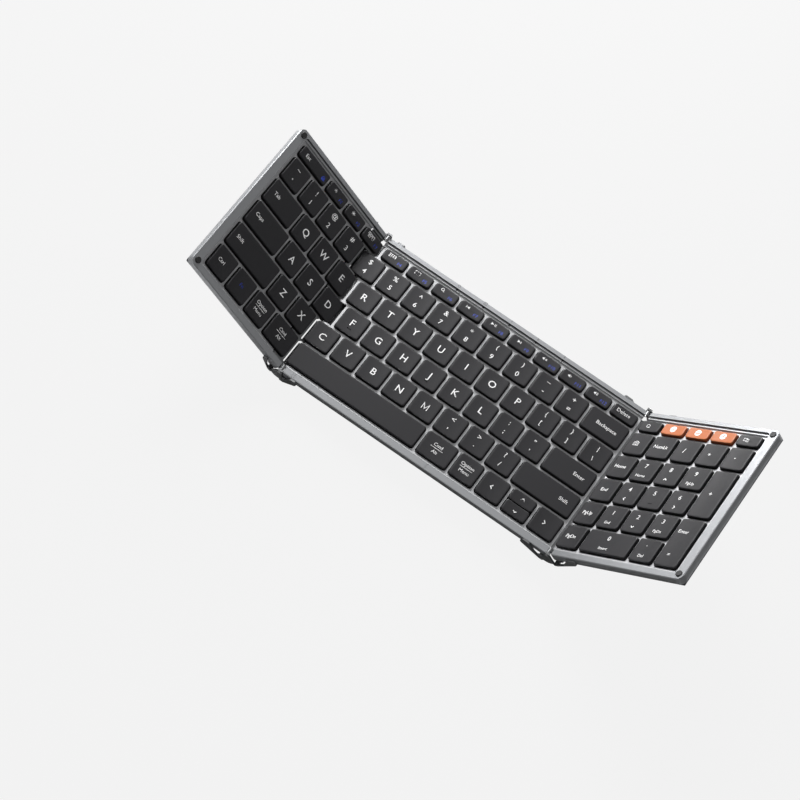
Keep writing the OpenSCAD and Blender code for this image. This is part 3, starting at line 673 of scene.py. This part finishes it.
def make_keys():
    for node, (side, row, rows, cells) in KEY_NODES.items():
        orange = node == "device_keys"
        verts, faces = [], []
        marks = Print([LEGEND_WHITE_GLOWING, LEGEND_BLUE, KEY_ORANGE])
        for x0, x1, legend in cells:
            box = cap_box(x0, x1, row, side, 1 if isinstance(rows, str) else rows)
            if isinstance(rows, str):
                box = half_box(box, rows)
            cap_faces(box, verts, faces)
            marks.height = lambda x, y, b=box: CAP_Z - dish_at(x, b)
            marks.colour = WHITE
            shift = 0 if side == "right" else ROW_SHIFT[row]
            if legend:
                legend(marks, {"x": (x0 + x1) / 2 * PITCH + shift, "y": (box[2] + box[3]) / 2,
                               "cell": (x0 * PITCH + shift, x1 * PITCH + shift)})
            for bar_x in HOMING.get(node, ()):
                if x0 < bar_x < x1:
                    bar_faces(bar_x * PITCH, (box[2] + box[3]) / 2 - 4.3, box, verts, faces)
        # painted shade: the sides of the caps get the darker copies of the cap materials
        materials = (KEY_ORANGE, KEY_ORANGE_SIDE_SHADE) if orange else (KEY_BLACK, KEY_SIDE_SHADE)
        indices = [int(min(verts[i][2] for i in face) < CAP_Z - SIDE_DROP) for face in faces]
        caps = mesh_piece("caps_" + node, [PANEL[side] @ Vector(v) for v in verts], faces, materials, indices)
        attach(caps, node)
        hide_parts(node)
        if marks.verts:
            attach(marks.piece("legends_" + node, side), node)


# ---------------------------------------------------------------- marks by the status lights
FIRST_LIGHT, LIGHT_STEP = 7.227, 1.0365     # place of the first and the spacing, in key pitches
LIGHT_X = [(FIRST_LIGHT + LIGHT_STEP * i) * PITCH for i in range(5)]
MARK_Y = GRID_Y + 4.6                       # middle of the marks, on the rear rim


def make_light_marks():
    marks = Print([LEGEND_DARK])
    marks.height = lambda x, y: RIM_Z
    marks.arc(LIGHT_X[0], MARK_Y, 0.8, 0, 360, 0.25)
    x = LIGHT_X[1]
    box = [(x + dx, MARK_Y + dy) for dx, dy in ((-1, -1), (1, -1), (1, 1), (-1, 1))]
    marks.stroke(box, 0.22, closed=True)
    marks.text("A", x, MARK_Y, 1.2, boxed=True)
    for i in range(3):
        marks.text(str(i + 1), LIGHT_X[i + 2], MARK_Y, 1.6, boxed=True, bold=BOLD)
    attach(marks.piece("light_marks", "center"), "base")


# ---------------------------------------------------------------- sheets under the seams, which stand in for the shade there
AXIS_Z = 10.35                # hinge axis over the floor
SHADE_SHEET_R = (5.17, 5.08)         # outer and inner radius of the shade sheet round the hinge axis
SHADE_SHEET_STEPS = 8
# reach from the hinge line towards -x and +x, by row; in one row a pressed key needs the room,
# and at the row lines the posts of the left bracket pass
SHADE_SHEET_REACH = {"left": ((-2.8, 1.0), (-1.4, 1.0), (-2.8, 1.0), None, (-2.8, 1.0), (-2.8, 1.0)),
              "right": ((-1.0, 2.6),) * 6}
SHADE_SHEET_AT_LINES = {"left": (-0.5, 1.0), "right": (-1.0, 2.6)}
LINE_ROOM = 0.85              # half width of the room left for a post


def shade_sheet_strip(side, x0, x1, y0, y1, verts, faces):
    """Part of a thin cylinder round the hinge axis, below it."""
    start = len(verts)
    for i in range(SHADE_SHEET_STEPS + 1):
        x = x0 + (x1 - x0) * i / SHADE_SHEET_STEPS
        for y in (y0, y1):
            for radius in SHADE_SHEET_R:
                verts.append((HINGE_X[side] + x, y, AXIS_Z - math.sqrt(radius * radius - x * x)))
    for i in range(SHADE_SHEET_STEPS):
        a = start + 4 * i
        for j, k in ((0, 2), (2, 3), (3, 1), (1, 0)):
            faces.append((a + j, a + k, a + 4 + k, a + 4 + j))
    end = start + 4 * SHADE_SHEET_STEPS
    faces.extend([(start, start + 1, start + 3, start + 2), (end, end + 2, end + 3, end + 1)])


def make_seam_shade_sheets():
    """Sheets that close the gaps under the two hinge lines: painted shade, they hide the pale floor and stand in
    for the shade under the hinges.
    """
    for side, reach in SHADE_SHEET_REACH.items():
        verts, faces = [], []
        for row in range(6):
            if reach[row]:
                shade_sheet_strip(side, *reach[row], row_lo(row) + LINE_ROOM, row_hi(row) - LINE_ROOM, verts, faces)
        for y in [ROW_PITCH * i for i in range(6)] + [GRID_Y]:
            shade_sheet_strip(side, *SHADE_SHEET_AT_LINES[side], y - LINE_ROOM, y + LINE_ROOM, verts, faces)
        # painted shade: a made-up sheet that darkens the hinge gap instead of the pale floor
        shade_sheet = mesh_piece("seam_film_" + side, [PANEL["center"] @ Vector(v) for v in verts], faces, [DECK_METAL])
        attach(shade_sheet, "base")


# ---------------------------------------------------------------- studio
BACKGROUND = 0.92      # linear brightness of the photo's plain ground


def seen_directly(tree):
    """Two values: 1 for camera and mirror rays, and 1 for camera rays alone."""
    path = tree.nodes.new("ShaderNodeLightPath")
    either = tree.nodes.new("ShaderNodeMath")
    either.operation = "MAXIMUM"
    tree.links.new(path.outputs["Is Camera Ray"], either.inputs[0])
    tree.links.new(path.outputs["Is Glossy Ray"], either.inputs[1])
    return either.outputs["Value"], path.outputs["Is Camera Ray"]


FLOOR_HALF = 4.0         # half side of the floor, in metres
FLOOR_GREY = 0.55        # how much light the floor gives back
FLOOR_GLOW = 0.95        # share of the plain background in the floor that the camera sees


def make_floor():
    mesh = bpy.data.meshes.new("floor")
    a = FLOOR_HALF
    mesh.from_pydata([(-a, -a, 0), (a, -a, 0), (a, a, 0), (-a, a, 0)], [], [(0, 1, 2, 3)])
    floor = bpy.data.objects.new("floor", mesh)
    bpy.context.scene.collection.objects.link(floor)
    mat, tree, bsdf = new_material("floor_pale")
    tinted(tree, bsdf, grain(tree, 60), (FLOOR_GREY, FLOOR_GREY, FLOOR_GREY), 0.01)
    bsdf.inputs["Roughness"].default_value = 0.9
    bsdf.inputs["Specular IOR Level"].default_value = 0.1
    glow = tree.nodes.new("ShaderNodeEmission")
    glow.inputs["Color"].default_value = (BACKGROUND, BACKGROUND, BACKGROUND, 1)
    share = tree.nodes.new("ShaderNodeMath")
    share.operation = "MULTIPLY"
    share.inputs[1].default_value = FLOOR_GLOW
    mix = tree.nodes.new("ShaderNodeMixShader")
    tree.links.new(seen_directly(tree)[1], share.inputs[0])
    tree.links.new(share.outputs["Value"], mix.inputs["Fac"])
    tree.links.new(bsdf.outputs["BSDF"], mix.inputs[1])
    tree.links.new(glow.outputs["Emission"], mix.inputs[2])
    tree.links.new(mix.outputs["Shader"], tree.nodes["Material Output"].inputs["Surface"])
    mesh.materials.append(mat)


BRIGHT_SIDE = (-0.855, 0.453, 0.251)     # direction from which the studio is brightest
MIRRORED = (0.16, 0.74)                  # brightness in reflections, away from it and towards it
AMBIENT = 0.12                           # even light from all sides


def make_world():
    """Even soft light; reflections see a room brighter on one side; the camera sees the pale ground."""
    world = bpy.data.worlds.new("studio")
    bpy.context.scene.world = world
    world.use_nodes = True
    tree = world.node_tree
    even = tree.nodes["Background"]
    even.inputs["Color"].default_value = (1, 1, 1, 1)
    even.inputs["Strength"].default_value = AMBIENT
    coord = tree.nodes.new("ShaderNodeTexCoord")
    dot = tree.nodes.new("ShaderNodeVectorMath")
    dot.operation = "DOT_PRODUCT"
    dot.inputs[1].default_value = BRIGHT_SIDE
    tree.links.new(coord.outputs["Generated"], dot.inputs[0])
    level = tree.nodes.new("ShaderNodeMapRange")
    level.inputs["From Min"].default_value = -1
    level.inputs["To Min"].default_value, level.inputs["To Max"].default_value = MIRRORED
    tree.links.new(dot.outputs["Value"], level.inputs["Value"])
    room = tree.nodes.new("ShaderNodeBackground")
    tree.links.new(level.outputs["Result"], room.inputs["Strength"])
    pale = tree.nodes.new("ShaderNodeBackground")
    pale.inputs["Color"].default_value = (BACKGROUND, BACKGROUND, BACKGROUND, 1)
    either, camera = seen_directly(tree)
    first = tree.nodes.new("ShaderNodeMixShader")
    tree.links.new(either, first.inputs["Fac"])
    tree.links.new(even.outputs["Background"], first.inputs[1])
    tree.links.new(room.outputs["Background"], first.inputs[2])
    second = tree.nodes.new("ShaderNodeMixShader")
    tree.links.new(camera, second.inputs["Fac"])
    tree.links.new(first.outputs["Shader"], second.inputs[1])
    tree.links.new(pale.outputs["Background"], second.inputs[2])
    tree.links.new(second.outputs["Shader"], tree.nodes["World Output"].inputs["Surface"])


def area_light(name, place, power, size, target=(0, 0, 0.02)):
    data = bpy.data.lights.new(name, "AREA")
    data.energy = power
    data.shape = "RECTANGLE"
    data.size = data.size_y = size
    lamp = bpy.data.objects.new(name, data)
    lamp.location = place
    lamp.rotation_euler = (Vector(target) - Vector(place)).to_track_quat("-Z", "Y").to_euler()
    bpy.context.scene.collection.objects.link(lamp)


def make_lights():
    area_light("rear_left_softbox", (-0.46, 0.72, 0.38), 19, 0.5)
    area_light("front_fill", (0.2, -1.8, 1.2), 3, 1.4)


# ---------------------------------------------------------------- camera
LENS = 116.83            # mm on a 36 mm sensor
CAMERA_MM = (339.57, -672.41, 1400.86)     # in flat keyboard millimetres, over the floor
CAMERA_X = (0.8198503, 0.5487618, 0.1634198)
CAMERA_Y = (-0.5598453, 0.7084210, 0.4297824)


def make_camera():
    data = bpy.data.cameras.new("camera")
    data.lens = LENS
    data.sensor_width = 36
    data.clip_end = 20
    camera = bpy.data.objects.new("camera", data)
    x = Vector(CAMERA_X).normalized()
    y = (Vector(CAMERA_Y) - x * x.dot(Vector(CAMERA_Y))).normalized()
    z = x.cross(y)
    place = PANEL["center"] @ Vector(CAMERA_MM)
    turn = Matrix((x, y, z)).transposed().to_4x4()
    camera.matrix_world = Matrix.Translation(place) @ turn
    bpy.context.scene.collection.objects.link(camera)
    bpy.context.scene.camera = camera


dress_cad_nodes()
make_keys()
make_light_marks()
make_seam_shade_sheets()
make_floor()
make_world()
make_lights()
make_camera()
bpy.context.scene.view_settings.view_transform = "Standard"
